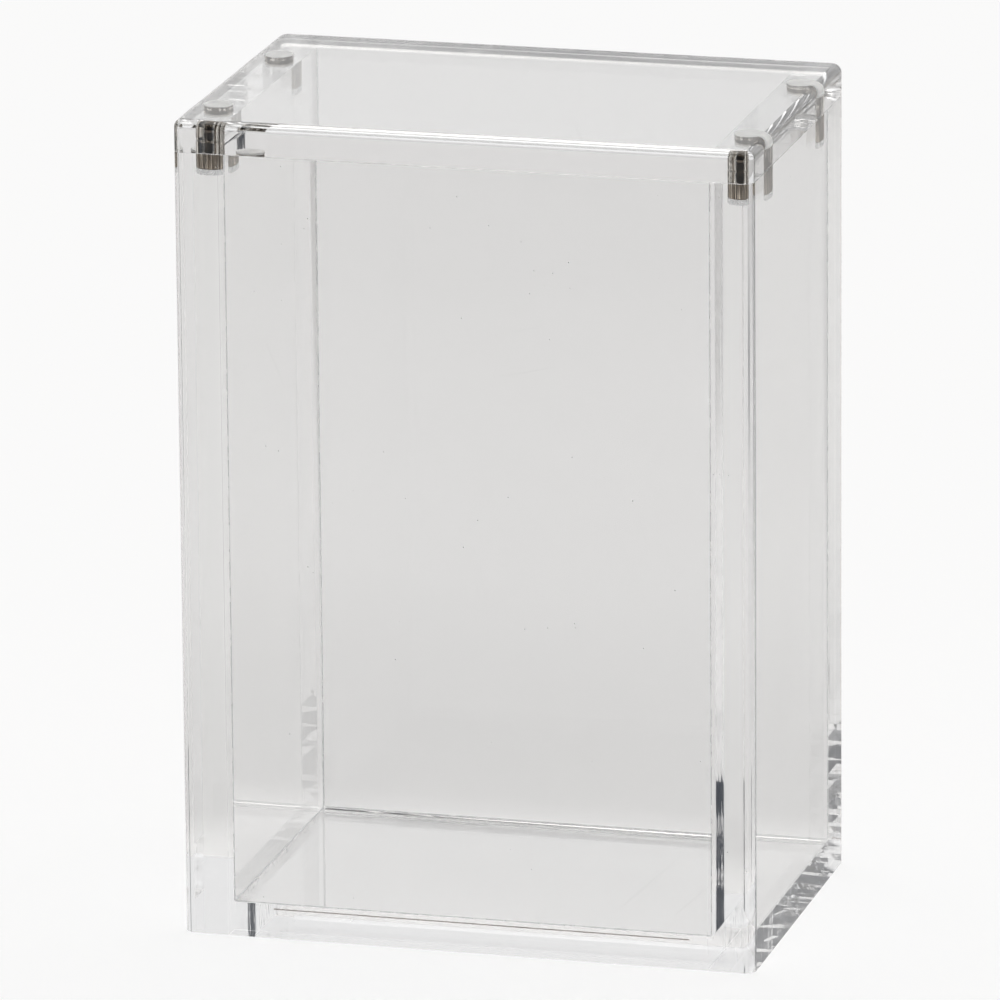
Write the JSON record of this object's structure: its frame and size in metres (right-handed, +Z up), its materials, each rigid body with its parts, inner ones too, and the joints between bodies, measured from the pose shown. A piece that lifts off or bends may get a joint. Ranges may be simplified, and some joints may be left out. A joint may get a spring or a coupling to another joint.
{
  "type": "trading card display case",
  "caption": "Clear acrylic display case for a sealed box of trading cards: glued upright walls round a base plate, and a loose lid plate held by small disc magnets.",
  "frame": {"origin": "on the surface that the case stands on, under the middle of the case", "axes": "+X to the right along the width, +Y from the front to the rear, +Z up"},
  "size_m": [0.1, 0.066, 0.1425],
  "materials": {
    "acrylic": "clear cast acrylic sheet, polished faces, flame-polished edges",
    "acrylic_lid": "clear cast acrylic sheet, polished faces and edges",
    "magnet": "nickel-plated disc magnet set in glue"
  },
  "bodies": {
    "case": {"base_plate": "acrylic", "front_wall": "acrylic", "rear_wall": "acrylic", "left_wall": "acrylic", "right_wall": "acrylic", "wall_magnet_front_left": "magnet", "wall_magnet_front_right": "magnet", "wall_magnet_rear_left": "magnet", "wall_magnet_rear_right": "magnet"},
    "lid": {"lid": "acrylic_lid", "lid_magnet_front_left": "magnet", "lid_magnet_front_right": "magnet", "lid_magnet_rear_left": "magnet", "lid_magnet_rear_right": "magnet"}
  },
  "joints": [
    {"name": "lid_lift", "type": "slide", "parent": "case", "child": "lid", "axis": [0, 0, 1], "range_m": [0, 0.15]}
  ]
}
